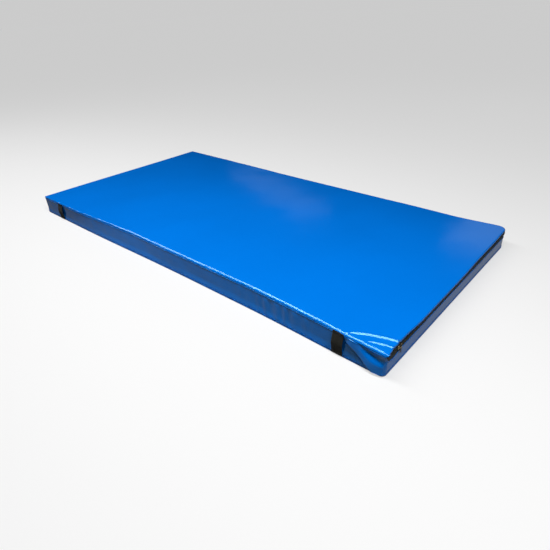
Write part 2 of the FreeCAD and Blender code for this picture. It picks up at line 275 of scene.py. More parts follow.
def front_wall(p):
    """How far the front wall stands out by the slack corner: diagonal crease, valley under the seam, bulge."""
    out = np.zeros(len(p))
    near = (p[:, 0] > DETAIL_X - 0.06) & (p[:, 1] < -0.46)
    x, z = p[near, 0], p[near, 2]
    side, share, _ = to_curve(p[near][:, [0, 2]], WALL_CREASE)
    face = ramp(side, 0, CREASE_FACE) * np.exp(-np.clip(side - CREASE_FACE, 0, None) / CREASE_FADE)
    groove = CREASE_GROOVE * (0.5 + 0.5 * share) * bell(side, 0, GROOVE_WIDTH)
    crease = (CREASE_HEIGHT * face - groove) * ramp(share, 0, 0.3)
    lowest = VALLEY_HIGH + (VALLEY_LOW - VALLEY_HIGH) * ramp(x, VALLEY_X, HALF_L)
    above, below = ramp(z, VALLEY_TOP, lowest), ramp(z, lowest - VALLEY_SIDE, lowest)
    valley = (VALLEY_DEPTH + crease) * ramp(x, VALLEY_X, VALLEY_X + 0.07) * np.where(z > lowest, above, below)
    out[near] = crease * ramp(z, 78 * MM, 68 * MM) - valley + BULGE * bell(x, *BULGE_X) * bell(z, *BULGE_Z)
    corner = ramp(p[:, 1], -(HALF_W - SLACK_R), -(HALF_W - 0.2 * SLACK_R))
    return out * corner * ramp(p[:, 2], 0, 10 * MM)


def sharpen(p):
    """The slack corner is round at the floor and pulled out to a point by the seam at the top."""
    a, b = p[:, 0] - (HALF_L - SLACK_R), -p[:, 1] - (HALF_W - SLACK_R)
    here = (a > 0) & (b > 0)
    angle = np.arctan2(b[here], a[here])
    power = 2 + POINTED * ramp(p[here, 2], POINT_LOW, POINT_HIGH)
    stretch = (np.abs(np.cos(angle)) ** power + np.abs(np.sin(angle)) ** power) ** (-1 / power)
    p[here, 0] = HALF_L - SLACK_R + a[here] * stretch
    p[here, 1] = -(HALF_W - SLACK_R) - b[here] * stretch
    high = ramp(p[:, 2], FLARE_LOW, FLARE_HIGH) * ramp(p[:, 0], HALF_L - 40 * MM, HALF_L)
    p[:, 0] += TIP_FLARE * high * bell(p[:, 1], -HALF_W, FLARE_REACH)


def ripple(p):
    """Small unevenness along the sewn edges and faint ripples in the front wall."""
    x, _, z = p.T
    seam = waves(x, z, SEAM_OUT) * (1 + along_side(x, LEFT_OUT)) * bell(z, 79 * MM, 7 * MM)
    wall = waves(x, z, BY_HANDLE) * bell(x, 0.60, 0.12) + waves(x, z, *WALL_SLACK)
    wall *= ramp(z, 74 * MM, 54 * MM) * ramp(z, 0, 20 * MM)
    return (seam + wall + waves(x, z, DRAPE) * ramp(z, 0, 30 * MM)) * MM


def settle(points, slack=True):
    """Moves points of the plain cover to where the sewn, slightly slack cover lies on its foam."""
    p = np.asarray(points, float).reshape(-1, 3).copy()
    if slack:
        sharpen(p)
    x, y, z = p[:, 0].copy(), p[:, 1].copy(), p[:, 2].copy()
    on_side = ramp(np.abs(y), 0.30, HALF_W - 4 * MM)
    end_fade = ramp(np.abs(x), HALF_L, HALF_L - 30 * MM)
    height = np.clip(z / HEIGHT, 0, 1)
    out = ripple(p) * end_fade + FOOT_SPREAD * ramp(z, SPREAD_TOP, 0)
    for facing, top, foot in ((1, TOP_BACK, FOOT_BACK), (-1, TOP_FRONT, FOOT_FRONT)):
        pull = along_side(x, top) * height + along_side(x, foot) * (1 - height) - out
        p[:, 1] -= facing * on_side * (facing * y > 0) * pull
    if slack:
        p[:, 1] -= on_side * (y < 0) * front_wall(p)
    inner = np.clip(1 - (x / HALF_L) ** 2, 0, 1) * np.clip(1 - (y / HALF_W) ** 2, 0, 1)
    swell = (waves(x, y, *WIDE_SWELL) + waves(x, y, *SMALL_SWELL)) * MM * ramp(inner, 0, 1 / 6)
    up = CROWN * inner ** 0.8 + swell + along_side(x, LIFT) + LEFT_LIFT * ramp(x, -0.55, -0.90)
    lean = LEFT_LEAN_FRONT + (LEFT_LEAN_BACK - LEFT_LEAN_FRONT) * ramp(y, -0.45, 0.40)
    p[:, 0] -= lean * ramp(x, -0.90, -HALF_L) * height
    seam_rise = (waves(x, y, SEAM_UP) + waves(x, y, LEFT_SEAM_UP) * along_side(x, LEFT_UP)) * MM
    up += seam_rise * bell(np.abs(y), HALF_W, 10 * MM) * end_fade
    p[:, 2] += up * ramp(z, 20 * MM, 80 * MM)
    if slack:
        p[:, 2] += top_folds(np.column_stack((x, y, z)))
    return p.reshape(np.shape(points))


# ---------- meshes
TUBE_SIDES = 6


def grid_faces(rows, columns, closed=False):
    """Quads between rows that run downwards and columns that run anticlockwise, so that they face outwards."""
    row, column = np.meshgrid(np.arange(rows - 1), np.arange(columns if closed else columns - 1), indexing="ij")
    start, right = row * columns, (column + 1) % columns
    corners = (start + column, start + columns + column, start + columns + right, start + right)
    return np.stack(corners, axis=-1).reshape(-1, 4)


def capped_faces(rings, around):
    """Faces of a closed form: quads between its rings, and a cap at each end."""
    last = (rings - 1) * around
    caps = [list(range(around)), [last + i for i in reversed(range(around))]]
    return grid_faces(rings, around, closed=True).tolist() + caps


def new_object(name, vertices, faces):
    mesh = bpy.data.meshes.new(name)
    faces = [list(face) for face in np.asarray(faces, object)]
    mesh.from_pydata(np.asarray(vertices).reshape(-1, 3).tolist(), [], faces)
    mesh.validate()
    mesh.shade_smooth()
    piece = bpy.data.objects.new(name, mesh)
    bpy.context.scene.collection.objects.link(piece)
    return piece


def thicken(piece, thickness):
    """Gives the piece a thickness inwards, worked into its mesh."""
    solidify = piece.modifiers.new("thickness", "SOLIDIFY")
    solidify.thickness = thickness
    solidify.offset = -1
    bpy.context.view_layer.update()
    evaluated = piece.evaluated_get(bpy.context.evaluated_depsgraph_get())
    mesh = bpy.data.meshes.new_from_object(evaluated)
    piece.modifiers.clear()
    piece.data = mesh
    mesh.shade_smooth()
    return piece


def tubes(name, paths, radius, upright):
    """Round tubes along many paths of equal length; upright is a direction, never along a path, for each point."""
    paths, upright = np.asarray(paths), np.asarray(upright)
    (count, length, _), sides = paths.shape, TUBE_SIDES
    ahead = np.gradient(paths, axis=1)
    ahead /= np.linalg.norm(ahead, axis=2)[..., None]
    across = np.cross(ahead, np.broadcast_to(upright, paths.shape))
    across /= np.linalg.norm(across, axis=2)[..., None]
    over = np.cross(across, ahead)
    angles = np.arange(sides)[:, None] * 2 * np.pi / sides
    circles = np.cos(angles) * across[:, :, None] + np.sin(angles) * over[:, :, None]
    rings = paths[:, :, None] + np.broadcast_to(radius, (length,))[:, None, None] * circles
    one, size = capped_faces(length, sides), length * sides
    faces = [[start + corner for corner in face] for start in range(0, count * size, size) for face in one]
    return new_object(name, rings, faces)


def finish_piece(piece, node, material):
    """Stands the piece in for its CAD node, on the mat, with its material."""
    piece.data.materials.clear()
    piece.data.materials.append(material)
    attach(piece, "mat")
    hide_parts(node)


# ---------- materials
def add_node(tree, kind, inputs, **settings):
    """A shader node; each input is set to a value, or linked to another node's output."""
    node = tree.nodes.new("ShaderNode" + kind)
    for key, value in settings.items():
        setattr(node, key, value)
    for key, value in inputs.items():
        if isinstance(value, bpy.types.NodeSocket):
            tree.links.new(value, node.inputs[key])
        else:
            node.inputs[key].default_value = value
    return node


class Nodes:
    """A principled material and short calls for the nodes that shape it."""

    def __init__(self, name, roughness, specular=0.5, metallic=0.0):
        self.material = bpy.data.materials.new(name)
        self.material.use_nodes = True
        self.tree = self.material.node_tree
        self.shader = self.tree.nodes["Principled BSDF"]
        self.shader.inputs["Roughness"].default_value = roughness
        self.shader.inputs["Specular IOR Level"].default_value = specular
        self.shader.inputs["Metallic"].default_value = metallic
        self.place = self.tree.nodes.new("ShaderNodeTexCoord").outputs["Object"]
        self.normal = None

    def add(self, kind, inputs, **settings):
        return add_node(self.tree, kind, inputs, **settings)

    def noise(self, scale, detail=2.0, roughness=0.5):
        inputs = {"Vector": self.place, "Scale": scale, "Detail": detail, "Roughness": roughness}
        return self.add("TexNoise", inputs).outputs["Fac"]

    def cells(self, scale):
        return self.add("TexVoronoi", {"Vector": self.place, "Scale": scale}).outputs["Distance"]

    def wave(self, scale, axis, distortion=0.0):
        inputs = {"Vector": self.place, "Scale": scale, "Distortion": distortion}
        return self.add("TexWave", inputs, bands_direction=axis).outputs["Fac"]

    def remap(self, value, low, high):
        inputs = {"Value": value, "From Min": 0.3, "From Max": 0.7, "To Min": low, "To Max": high}
        return self.add("MapRange", inputs).outputs["Result"]

    def maths(self, operation, a, b):
        return self.add("Math", {0: a, 1: b}, operation=operation).outputs[0]

    def mix(self, share, a, b):
        return self.add("Mix", {0: share, 6: (*a, 1.0), 7: (*b, 1.0)}, data_type="RGBA").outputs[2]

    def bump(self, height, distance, strength=1.0):
        inputs = {"Height": height, "Distance": distance, "Strength": strength}
        if self.normal is not None:
            inputs["Normal"] = self.normal
        self.normal = self.add("Bump", inputs).outputs["Normal"]
        self.tree.links.new(self.normal, self.shader.inputs["Normal"])

    def set(self, socket, value):
        self.tree.links.new(value, self.shader.inputs[socket])


def coated_fabric(name, colour, dark, roughness, specular):
    """PVC-coated cloth: fine embossed grain, the base cloth's weave just showing, faint scuffs."""
    n = Nodes(name, roughness[0], specular)
    n.shader.inputs["Specular Tint"].default_value = (*GLOSS_TINT, 1.0)
    patches = n.remap(n.noise(3.1, 3.0, 0.5), 0.0, 1.0)
    fine = n.remap(n.noise(210.0, 3.0, 0.6), 0.0, 0.35)
    n.set("Base Color", n.mix(n.maths("MULTIPLY", n.maths("ADD", patches, fine), 0.7), colour, dark))
    n.set("Roughness", n.remap(n.noise(9.0, 3.0, 0.5), *roughness))
    weave = n.maths("MULTIPLY", n.wave(155.0, "X"), n.wave(155.0, "Y"))
    n.bump(n.noise(14.0, 2.0, 0.5), 0.30 * MM, 0.5)
    n.bump(weave, 0.012 * MM, 0.35)
    n.bump(n.cells(1150.0), 0.02 * MM, 0.3)
    return n.material


def woven(name, colour, light, pitch, roughness, relief):
    """Plain woven yarn in both directions of the wall it lies on. Its colour follows the weave's relief: painted
    lighter on the yarns' crowns and darker in the hollows between them, a painted highlight and painted shade over
    a random tone.
    """
    n = Nodes(name, roughness, 0.3)
    scale = 0.5 / pitch
    upright = n.wave(scale, "Z", 0.3)
    across = n.maths("MAXIMUM", n.wave(scale, "X", 0.3), n.wave(scale, "Y", 0.3))
    yarn = n.maths("MULTIPLY", upright, across)
    fuzz = n.noise(1900.0, 3.0, 0.7)
    # painted highlight and shade: the colour follows the weave's relief, lighter on the crowns and darker in the
    # hollows, times a random tone
    n.set("Base Color", n.mix(n.maths("MULTIPLY", yarn, n.remap(n.noise(60.0, 4.0), 0.3, 1.0)), colour, light))
    n.bump(yarn, relief, 0.8)
    n.bump(fuzz, relief / 2, 0.6)
    n.shader.inputs["Sheen Weight"].default_value = 0.06
    n.shader.inputs["Sheen Roughness"].default_value = 0.5
    return n.material


def mottled(name, colours, patches, roughness, rubbed, grain, depth, metallic=0.0):
    """A hard surface: uneven in colour and gloss, with a fine grain. Patches, rubbing and grain are noises."""
    n = Nodes(name, roughness[0], 0.5, metallic)
    n.set("Base Color", n.mix(n.remap(n.noise(*patches), 0.0, 1.0), *colours))
    n.set("Roughness", n.remap(n.noise(*rubbed), *roughness))
    n.bump(n.noise(*grain), 0.02 * MM, depth)
    return n.material


def yarn(name, colour, light):
    n = Nodes(name, 0.5, 0.4)
    twist = n.wave(900.0, "DIAGONAL", 0.6)
    # painted highlight and shade: the thread's colour is lighter on the twist's crests and darker in its grooves
    n.set("Base Color", n.mix(twist, colour, light))
    n.bump(twist, 0.06 * MM, 0.8)
    return n.material


def foam_material(name):
    n = Nodes(name, 0.9, 0.2)
    pores = n.cells(520.0)
    # painted shade: the foam is darker in its pores' hollows and lighter on the cell walls between them
    n.set("Base Color", n.mix(pores, (0.62, 0.56, 0.38), (0.86, 0.80, 0.60)))
    n.bump(pores, 0.5 * MM, 1.0)
    return n.material


GLOSS_TINT = (0.45, 1.0, 1.0)
COVER = coated_fabric("cover_blue", (0.0, 0.186, 0.755), (0.0, 0.170, 0.69), (0.11, 0.16), 0.55)
BASE = coated_fabric("base_blue", (0.0, 0.180, 0.75), (0.0, 0.160, 0.66), (0.30, 0.42), 0.45)
# For the tape and the webbing, the first colour shows in the weave's hollows as painted shade, and the second on
# its crowns as a painted highlight.
TAPE_CLOTH = woven("zipper_tape_black", (0.018, 0.020, 0.015), (0.050, 0.052, 0.040), 0.7 * MM, 0.8, 0.10 * MM)
WEBBING = woven("webbing_black", (0.011, 0.011, 0.008), (0.030, 0.029, 0.022), 1.2 * MM, 0.75, 0.12 * MM)
COIL = mottled("zipper_coil_black", ((0.030, 0.038, 0.030), (0.055, 0.066, 0.054)), (300.0, 3.0),
               (0.35, 0.52), (500.0, 3.0), (2600.0, 2.0), 0.5)
# For each thread, the first colour shows in the twist's grooves as painted shade, and the second on its crests as
# a painted highlight.
BLACK_THREAD = yarn("thread_black", (0.012, 0.012, 0.010), (0.045, 0.044, 0.036))
BLUE_THREAD = yarn("thread_blue", (0.0, 0.10, 0.42), (0.0, 0.17, 0.62))
BRASS = mottled("slider_brass", ((0.66, 0.51, 0.25), (0.36, 0.27, 0.13)), (420.0, 4.0, 0.65),
                (0.168, 0.432), (260.0, 5.0, 0.7), (900.0, 3.0), 0.4, metallic=1.0)
STOP_PAINT, TAB_PAINT = (
    mottled(name, ((0.012, 0.012, 0.011), (0.03, 0.029, 0.026)), (350.0, 4.0, 0.7),
            (0.28, 0.5), (420.0, 4.0), (1500.0, 3.0), 0.4) for name in ("stop_black", "tab_black"))
FOAM = foam_material("foam_cream")


# ---------- the panels
GRID_INSET = 1.6 * MM
EDGE_INSETS = np.array((1.6, 2.1, 2.8, 3.8, 5, 6.5, 8.5, 11, 14)) * MM
# The rolled edge of a panel: its slope in degrees at distances in from the side, for the widest roll
EDGE_GAPS = np.array((0, 1.6, 3.2, 9, 14)) * MM
EDGE_SLOPES = (58, 50, 33, 22, 0)
WIDE_ROLL, NARROW_ROLL = EDGE_GAPS[-1], 5 * MM
BASE_ROLL, FOAM_ROLL = 3 * MM, 8 * MM
ROLL_WIDENS = (-0.62, 0.13)     # along x, where the top's front roll grows from narrow to wide
FOAM_INSET, FOAM_TOP_GAP, FOAM_BOTTOM_GAP = 10.5 * MM, 4.0 * MM, 1.4 * MM      # between the foam and the cover
# Wall of the top panel below its rolled edge, as (inset, depth below the top): stitched groove, hem shoulder, hem
TOP_WALL = ((1.0, 6.2), (0.7, 7.0), (0.65, 7.7), (0.9, 8.3), (1.5, 8.8), (1.85, 9.2), (1.65, 9.55), (1.2, 9.8),
            (0.0, 10.47), (-0.14, 10.8), (-0.15, 11.5), (0.05, 12.3), (0.3, 12.8))
BOTTOM_WALL = ((0.8, 2.0), (0.5, 3.0), (0.7, 3.9), (1.2, 4.6), (1.5, 5.1), (1.5, 5.5), (1.1, 6.1),
               (0.55, 6.8), (0.25, 7.5), (0.1, 8.2), (0.2, 9.0))
GROOVE_DEPTH, GROOVE_INSET = 9.15 * MM, 1.75 * MM
BASE_GROOVE_HEIGHT, BASE_GROOVE_INSET = 5.3 * MM, 1.35 * MM
ZIP_WALL_INSET = 0.3 * MM   # the top panel's wall over the zipper has no groove
HEM, HEM_SAG = 4.5 * MM, 1.0 * MM   # its height there, and how much lower it hangs in the middle of the end
END_BULGE = 4.5 * MM        # how far it stands out over the zipper there
# Spacing of a panel's grid near the low edge, in the middle and near the high edge, in x and in y
DETAILED = ((COARSE, 3 * FINE, FINE), (FINE, COARSE, 2 * FINE))
PLAIN = ((3 * COARSE,) * 3,) * 2
UNDERSIDE = ((3 * COARSE, 2 * COARSE, FINE), (COARSE, 3 * COARSE, 2 * FINE))


def grid_lines(half, low_limit, high_limit, spacings):
    """Lines across the mat from edge to edge, close together at both edges, with a spacing for each stretch."""
    low, high = -half + EDGE_INSETS, half - EDGE_INSETS[::-1]
    marks = (low[-1], low_limit, high_limit, high[0])
    inner = spread(*zip(marks, spacings + (1,)))
    return np.concatenate((low[:-1], inner[:-1], high))


def round_corners(x, y):
    """Bends a rectangular grid's corners round: each square by a corner becomes a quarter disc."""
    x, y = x.copy(), y.copy()
    normals = np.zeros(x.shape + (2,))
    for sx, sy, radius in CORNERS:
        a, b = sx * x - (HALF_L - radius), sy * y - (HALF_W - radius)
        here = (a > 0) & (b > 0)
        a, b = a[here], b[here]
        far, near = np.maximum(a, b), np.minimum(a, b)
        angle = np.pi / 4 * near / far
        angle = np.where(a >= b, angle, np.pi / 2 - angle)
        x[here] = sx * (HALF_L - radius + far * np.cos(angle))
        y[here] = sy * (HALF_W - radius + far * np.sin(angle))
        normals[here] = np.column_stack((sx * np.cos(angle), sy * np.sin(angle)))
    return x, y, normals


def zip_share(points):
    """1 where the zipper lies under the edge, 0 elsewhere, with a short change between."""
    x, y = points[..., 0], points[..., 1]
    end = ramp(y, 2.5 * MM - HALF_W, 8.5 * MM - HALF_W) * (x > HALF_L - WIDE_ROLL)
    back = ramp(x, ZIP_END_X - 6 * MM, ZIP_END_X) * (y > HALF_W - WRAPPED_R - WIDE_ROLL)
    return np.maximum(end, back)


def boundary(grid):
    """A grid's edge in order: front, right, back, left."""
    return np.concatenate((grid[0, :-1], grid[:-1, -1], grid[-1, :0:-1], grid[:0:-1, 0]))


def edge_depth(gap, width):
    """How far a rolled edge has dropped at a distance in from the side."""
    steps = np.linspace(0, WIDE_ROLL, 200)
    slope = np.tan(np.radians(np.interp(steps, EDGE_GAPS, EDGE_SLOPES)))
    drop = (slope.sum() - np.cumsum(slope)) * (steps[1] - steps[0])
    share = width / WIDE_ROLL
    return share * np.interp(gap / share, steps, drop)


def mid_end(points):
    """1 in the middle of the zipped end, where the top panel bulges, 0 by its corners."""
    x, y = points[..., 0], points[..., 1]
    along = ramp(y, -0.40, -0.28) * (0.35 * ramp(y, 0.44, 0.34) + 0.65 * ramp(y, 0.20, 0))
    return along * ramp(x, HALF_L - 50 * MM, HALF_L)


def zip_hem(points):
    """How far the top panel's wall reaches down over the zipper, as a share of its reach elsewhere."""
    return (HEM + HEM_SAG * mid_end(points)) / (HEIGHT - TOP_LAP_Z)


def panel(spacings, front_roll, other_roll, lap_rows):
    """A panel's flat grid with its rolled edge, and the rings of its lap. Depths count from the face inwards."""
    xs = grid_lines(HALF_L, 30 * MM - HALF_L, DETAIL_X, spacings[0])
    ys = grid_lines(HALF_W, DETAIL_Y, HALF_W - WRAPPED_R - 6 * MM, spacings[1])
    x, y = np.meshgrid(xs, ys)
    roll = other_roll + (front_roll - other_roll) * ramp(x, *ROLL_WIDENS)
    if front_roll > other_roll:
        roll += np.clip(waves(x, y, PUCKER_WAVE), 0, 1) ** 2 * along_side(x, PUCKERS)
    front = edge_depth(HALF_W + y, roll)
    depth = np.maximum(front, edge_depth(np.minimum(HALF_L - np.abs(x), HALF_W - y), other_roll))
    x, y, corner_normals = round_corners(x, y)
    face = np.stack((x, y, depth), axis=-1)

    loop = boundary(face)
    normals = boundary(corner_normals)
    counts = (len(xs) - 1, len(ys) - 1, len(xs) - 1, len(ys) - 1)
    sides = np.repeat(SIDE_NORMALS, counts, axis=0)
    normals = np.where(np.abs(normals).sum(1)[:, None] > 0, normals, sides)
    rim = loop[:, :2] + GRID_INSET * normals
    zipped = zip_share(loop)
    rings = []
    for inset, drop in lap_rows:
        inset = inset * MM + (min(inset * MM, ZIP_WALL_INSET) - inset * MM) * zipped
        start = loop[:, 2] - loop[:, 2].max()
        drop = drop * MM + start * np.clip(1 - drop * MM / GROOVE_DEPTH, 0, 1)
        rings.append(np.column_stack((rim - inset[:, None] * normals, drop)))
    return face, np.array(rings)


def panel_mesh(face, rings):
    """Vertices and faces of a panel whose grid faces up."""
    rows, columns, _ = face.shape
    numbers = np.arange(rows * columns).reshape(rows, columns)
    quads = np.stack((numbers[:-1, :-1], numbers[:-1, 1:], numbers[1:, 1:], numbers[1:, :-1]), axis=-1)
    loop = boundary(numbers)
    around = [loop] + [rows * columns + k * len(loop) + np.arange(len(loop)) for k in range(len(rings))]
    bands = []
    for upper, lower in zip(around, around[1:]):
        bands.append(np.stack((upper, lower, np.roll(lower, -1), np.roll(upper, -1)), axis=-1))
    vertices = np.concatenate((face.reshape(-1, 3), rings.reshape(-1, 3)))
    return vertices, np.concatenate([quads.reshape(-1, 4)] + bands)


def sewn_sheet(name, vertices, faces, thickness, node, slot, material, flat, below="foam_block"):
    """One cut piece of the cover, settled on what it lies on."""
    piece = thicken(new_object(name, settle(vertices), faces), thickness)
    finish_piece(piece, node, material)


def swept_sheet(name, distances, rows, *others):
    surface = sweep(distances, rows)
    sewn_sheet(name, surface, grid_faces(*surface.shape[:2]), *others)


def lapped(lap):
    """The flat size of a panel with a lap all round."""
    return 2 * HALF_L + 2 * lap, 2 * HALF_W + 2 * lap


def top_cover():
    vertices, faces = panel_mesh(*panel(DETAILED, WIDE_ROLL, NARROW_ROLL, TOP_WALL))
    shrink = 1 - (1 - zip_hem(vertices)) * zip_share(vertices)
    vertices[:, 2] = HEIGHT - vertices[:, 2] * shrink
    vertices[:, 0] += END_BULGE * mid_end(vertices)
    sewn_sheet("top_cover", vertices, faces, SHEET, "top_panel", "cover_sheet", COVER, lapped(HEIGHT - TOP_LAP_Z))


def base_cover():
    vertices, faces = panel_mesh(*panel(UNDERSIDE, BASE_ROLL, BASE_ROLL, BOTTOM_WALL))
    sewn_sheet("base_cover", vertices, faces[:, ::-1], SHEET, "bottom_panel", "base_sheet", BASE,
               lapped(BOTTOM_LAP_Z), below="floor")


def foam_block():
    """The foam, a little smaller all round than the inside of the cover."""
    face, _ = panel(PLAIN, FOAM_ROLL, FOAM_ROLL, ())
    face[..., :2] *= (1 - FOAM_INSET / HALF_L, 1 - FOAM_INSET / HALF_W)
    upper, lower = face.copy(), face.copy()
    upper[..., 2] = HEIGHT - FOAM_TOP_GAP - face[..., 2]
    lower[..., 2] = FOAM_BOTTOM_GAP + face[..., 2]
    vertices, faces = panel_mesh(upper, np.zeros((0, 1, 3)))
    count = len(vertices)
    loop = boundary(np.arange(count).reshape(face.shape[:2]))
    after = np.roll(loop, -1)
    wall = np.stack((loop, loop + count, after + count, after), axis=-1)
    vertices = np.concatenate((vertices, lower.reshape(-1, 3)))
    faces = np.concatenate((faces, faces[:, ::-1] + count, wall))
    piece = new_object("foam_block", settle(vertices, slack=False), faces)
    finish_piece(piece, "foam_core", FOAM)


# ---------- the side walls
WALL_INSET = 0.95 * MM
# Both ends of a wall's rows, as (inset, height): tucked in behind the top lap, and behind the bottom lap
TUCK = ((1.9, 77.8), (2.9, 76.6), (3.1, 75.4), (3.1, 74.0), (2.1, 73.0), (1.25, 72.0))
FOOT = ((1.15, 8.8), (1.9, 7.6), (3.0, 6.2), (3.0, 4.4))
# The folded, stitched top of the end wall, from the height of the zipper band's lower edge
BAND_FOLD = ((1.55, -1.5), (1.5, -0.6), (1.1, -0.1), (0.6, 0.0), (0.1, -0.3), (-0.1, -0.9), (0.0, -1.5),
             (0.55, -2.1), (0.25, -2.8), (0.25, -3.6), (0.6, -4.3), (0.35, -5.2), (0.95, -6.4))
BAND_DIP, BAND_DIP_Y, BAND_DIP_REACH = 8 * MM, -0.455, 32 * MM      # the slack strip hangs open below the slider
BAND_END_ROUND, BAND_END_Z = 20 * MM, 79 * MM


def in_metres(rows, height=0.0):
    return [(inset * MM, height + z * MM) for inset, z in rows]


def wall_rows(step):
    """A side wall's rows from behind the top lap to behind the bottom lap."""
    high, low = TOP_LAP_Z - 4.1 * MM, BOTTOM_LAP_Z + 1.0 * MM
    middle = [(WALL_INSET, z) for z in np.linspace(high, low, int((high - low) / step) + 1)]
    return in_metres(TUCK) + middle + in_metres(FOOT)


def wall(name, node, distances, rows, flat):
    swept_sheet(name, distances, rows, SHEET, node, "cover_sheet", COVER, flat)


def side_walls():
    tall = HEIGHT - 2 * SHEET
    front = spread((FRONT_LEFT_ARC, CORNER_STEP), (0.0, COARSE), (distance_at(FRONT, 0.40), 4 * MM),
                   (distance_at(FRONT, DETAIL_X), FINE), (BAND_START - 0.2 * MM, FINE))
    wall("front_wall", "front_side_strip", front, wall_rows(FINE), (2 * HALF_L, tall))
    back = spread((ZIP_END + 0.5 * MM, COARSE), (BACK_LEFT_ARC, CORNER_STEP), (BACK_LEFT_ARC_END, 1))
    wall("back_wall", "back_side_strip", back, wall_rows(2 * FINE), (1.9, tall))
    left = spread((BACK_LEFT_ARC_END + 0.2 * MM, COARSE), (PERIMETER + FRONT_LEFT_ARC - 0.2 * MM, 1))
    wall("left_wall", "left_end_strip", left, wall_rows(2 * FINE), (2 * HALF_W, tall))


def band_low(distances):
    """The height of the zipper band's lower edge: level, slack below the slider, closing round at the corner."""
    y = place(distances)[0][:, 1]
    level = END_STRIP_TOP_Z - BAND_DIP * (distances < WRAPPED_ARC) * bell(y, BAND_DIP_Y, BAND_DIP_REACH)
    from_end = np.clip(1 - (distances - BAND_START) / BAND_END_ROUND, 0, 1)
    return level + (BAND_END_Z - level) * (1 - np.sqrt(1 - from_end ** 2))


def end_wall():
    distances = spread((BAND_START, CORNER_STEP), (BAND_START + BAND_END_ROUND, FINE),
                       (distance_at(END, -0.38), COARSE), (WRAPPED_ARC, FINE),
                       (WRAPPED_ARC_END, 2 * FINE), (ZIP_END - 0.5 * MM, 1))
    top = band_low(distances)
    high, low = top + BAND_FOLD[-1][1] * MM, BOTTOM_LAP_Z + 1.0 * MM
    middle = [(WALL_INSET, high * (1 - share) + low * share) for share in np.linspace(0, 1, 14)[1:]]
    rows = in_metres(BAND_FOLD, top) + middle + in_metres(FOOT)
    wall("end_wall", "right_end_strip", distances, rows, (ZIP_END - ZIP_START, END_STRIP_TOP_Z - SHEET))


# ---------- the zipper
TAPE_ROWS, TAPE_WAVER = 9, 0.1 * MM
COIL_PITCH, COIL_WIRE = 1.9 * MM, 0.36 * MM
COIL_STEPS, COIL_SQUARE = 12, 0.75      # points in a turn, and how square it is
MESHED_REACH = 0.45 * MM    # how far the closed teeth reach past the middle
STOP_RINGS, STOP_SIDES = 17, 24


def tape(name, node, low, high, flat_width):
    distances = spread((BAND_START - 1.5 * MM, CORNER_STEP), (ZIP_START, FINE), (WRAPPED_ARC, FINE),
                       (WRAPPED_ARC_END, FINE), (ZIP_END, 1))
    heights = np.linspace(high, low, TAPE_ROWS)
    rows = [(TAPE_INSET + TAPE_WAVER * math.sin(3 * k), z) for k, z in enumerate(heights)]
    flat = (flat_width, ZIP_END - ZIP_START)
    swept_sheet(name, distances, rows, TAPE, node, "zipper_tape", TAPE_CLOTH, flat)


def zipper_tapes():
    hidden_edge = HEIGHT - HEM - 1.2 * MM
    tape("tape_upper", "zipper_tape_upper", tape_low.z, hidden_edge, tape_high.z - tape_low.z)
    low = lower_tape_low.z - BAND_DIP
    tape("tape_lower", "zipper_tape_lower", low, lower_tape_high.z, lower_tape_high.z - low)


def coil(name, node, side):
    """One row of the zipper's coil: a helix of nylon, meshed with the other row where the zipper is closed."""
    start, end = distance_at(END, stop_high.y), ZIP_END - OPEN_STOP_LENGTH
    turns = int((end - start) / COIL_PITCH)
    phase = np.linspace(0, 2 * np.pi * turns, turns * COIL_STEPS)
    turn = phase / (2 * np.pi) + (0.5 if side < 0 else 0.0)     # the rows are half a turn apart, to mesh
    distances = start + turn * (end - start) / (turns + 0.5)
    points, normals = place(distances)
    meshed = ramp(distances, distance_at(END, SLIDER_Y - 6 * MM), distance_at(END, SLIDER_Y + 6 * MM))
    inner = (COIL_GAP + COIL_WIRE) * (1 - meshed) - MESHED_REACH * meshed
    outer = COIL_REACH - COIL_WIRE
    z = (inner + outer) / 2 + (outer - inner) / 2 * squared(np.sin(phase), COIL_SQUARE)
    out = COIL_HEIGHT / 2 + (COIL_HEIGHT / 2 - COIL_WIRE) * squared(np.cos(phase), COIL_SQUARE)
    path = np.column_stack((points + (out - TAPE_INSET)[:, None] * normals, ZIP_CENTRE_Z + side * z))
    along = np.column_stack((-normals[:, 1], normals[:, 0], np.zeros(len(normals))))
    piece = tubes(name, settle(path)[None], COIL_WIRE, along[None])
    finish_piece(piece, node, COIL)


def stop(name, node, start, end):
    """A metal clip crimped over both rows, with two pinched grooves."""
    share = np.linspace(0, 1, STOP_RINGS)
    points, normals = place(start + share * (end - start))
    size = (1 - np.abs(2 * share - 1) ** 6) ** 0.5 * 0.12 + 0.88
    size = size - 0.09 * (bell(share, 0.35, 0.07) + bell(share, 0.65, 0.07))
    size[[0, -1]] *= 0.85
    angles = np.arange(STOP_SIDES) * 2 * np.pi / STOP_SIDES
    half_wide, half_high = COIL_REACH, COIL_HEIGHT / 2
    rings = []
    for point, normal, scale in zip(points, normals, size):
        out = half_high + half_high * scale * squared(np.cos(angles), 0.5) - TAPE_INSET
        z = ZIP_CENTRE_Z + half_wide * scale * squared(np.sin(angles), 0.5)
        rings.append(np.column_stack((point + out[:, None] * normal, z)))
    piece = new_object(name, settle(np.array(rings)), capped_faces(STOP_RINGS, STOP_SIDES))
    finish_piece(piece, node, STOP_PAINT)


def zipper():
    zipper_tapes()
    coil("coil_upper", "zipper_coil_upper", 1)
    coil("coil_lower", "zipper_coil_lower", -1)
    stop("closed_stop", "zipper_closed_stop", distance_at(END, stop_low.y), distance_at(END, stop_high.y))
    stop("open_stop", "zipper_open_stop", ZIP_END - OPEN_STOP_LENGTH, ZIP_END)


